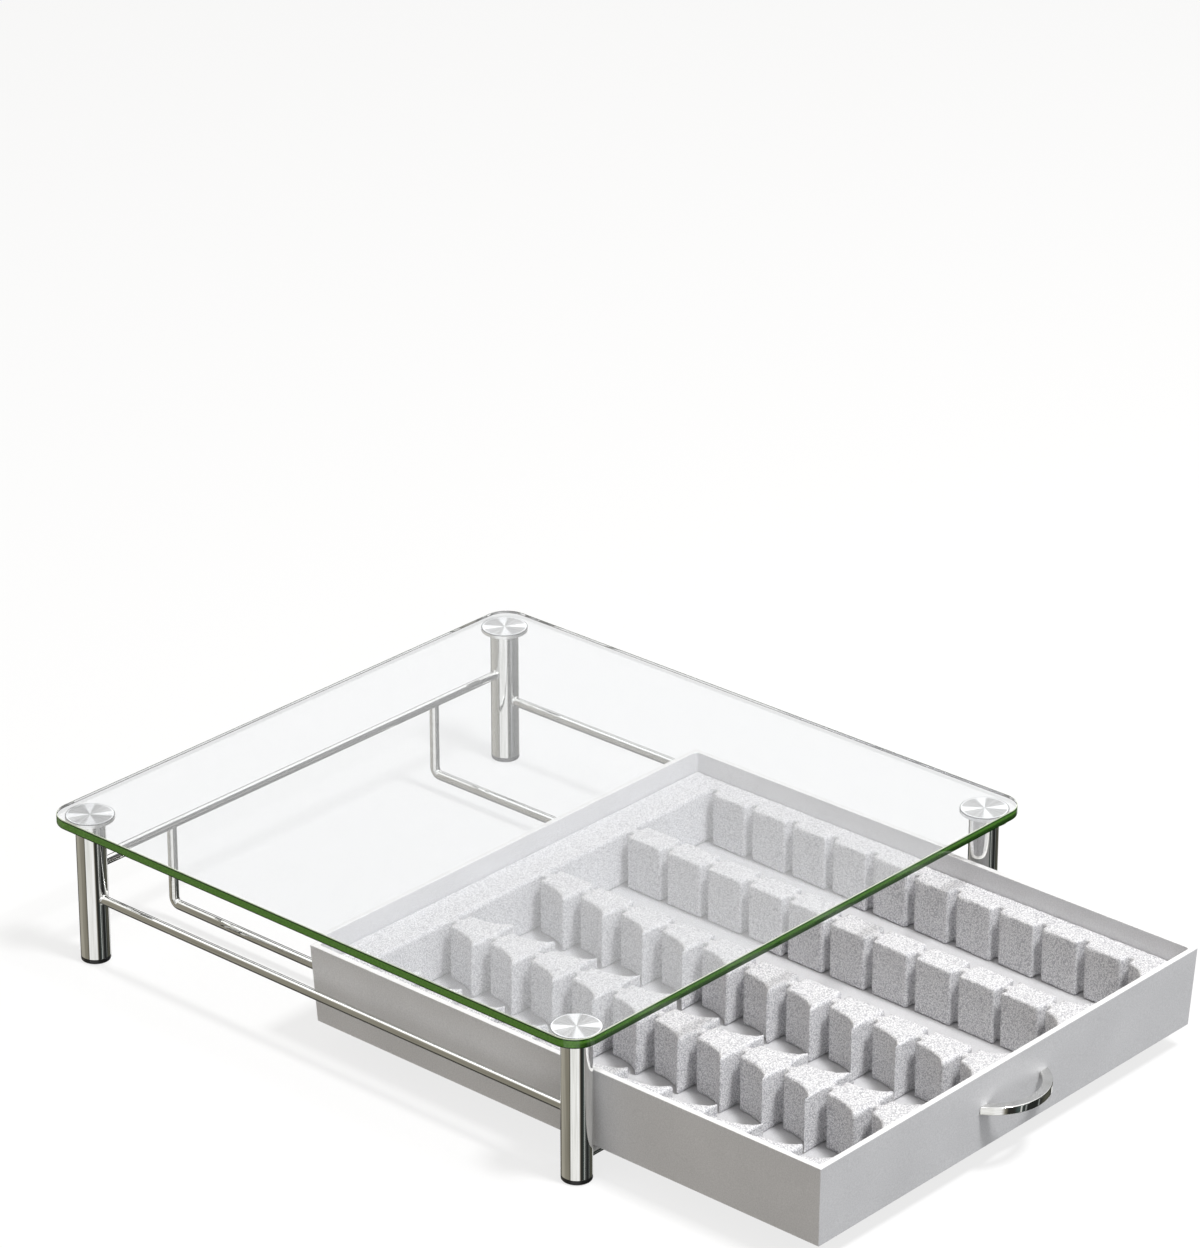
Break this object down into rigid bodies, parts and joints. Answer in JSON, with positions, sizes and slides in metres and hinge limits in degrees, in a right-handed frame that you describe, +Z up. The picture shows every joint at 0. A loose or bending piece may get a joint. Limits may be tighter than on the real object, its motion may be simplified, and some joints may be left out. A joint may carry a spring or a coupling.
{
  "type": "coffee pod drawer",
  "caption": "Low stand with a glass top on chromed legs and wires, over a pull-out tray with a bow handle and a foam liner that holds standing coffee pods.",
  "frame": {"origin": "on the table, under the middle of the whole outline with the tray open as at rest", "axes": "+X to the right seen from the front, +Y from the handle to the rear, +Z up"},
  "size_m": [0.331, 0.488, 0.0814],
  "materials": {
    "clear_glass": "polished",
    "chromed_tube": "mirror",
    "chromed_wire": "mirror",
    "chromed_handle": "mirror",
    "brushed_disc": "spun brushed",
    "zinc_steel": "zinc plated",
    "black_rubber": "matt",
    "silver_abs": "satin silver",
    "white_foam": "granular foam"
  },
  "bodies": {
    "stand": {"glass_top": "clear_glass", "front_left_leg": "chromed_tube", "front_left_disc": "brushed_disc", "front_left_insert": "zinc_steel", "front_left_foot": "black_rubber", "front_right_leg": "chromed_tube", "front_right_disc": "brushed_disc", "front_right_insert": "zinc_steel", "front_right_foot": "black_rubber", "rear_left_leg": "chromed_tube", "rear_left_disc": "brushed_disc", "rear_left_insert": "zinc_steel", "rear_left_foot": "black_rubber", "rear_right_leg": "chromed_tube", "rear_right_disc": "brushed_disc", "rear_right_insert": "zinc_steel", "rear_right_foot": "black_rubber", "left_side_rail": "chromed_wire", "right_side_rail": "chromed_wire", "rear_cross_bar": "chromed_wire", "front_cross_bar": "chromed_wire", "left_guide_wire": "chromed_wire", "right_guide_wire": "chromed_wire"},
    "drawer": {"drawer_tray": "silver_abs", "pod_liner": "white_foam", "bow_handle": "chromed_handle", "handle_screws": "zinc_steel"}
  },
  "joints": [
    {"name": "tray_slide", "type": "slide", "parent": "stand", "child": "drawer", "axis": [0, -1, 0], "range_m": [-0.139, 0.018]}
  ]
}
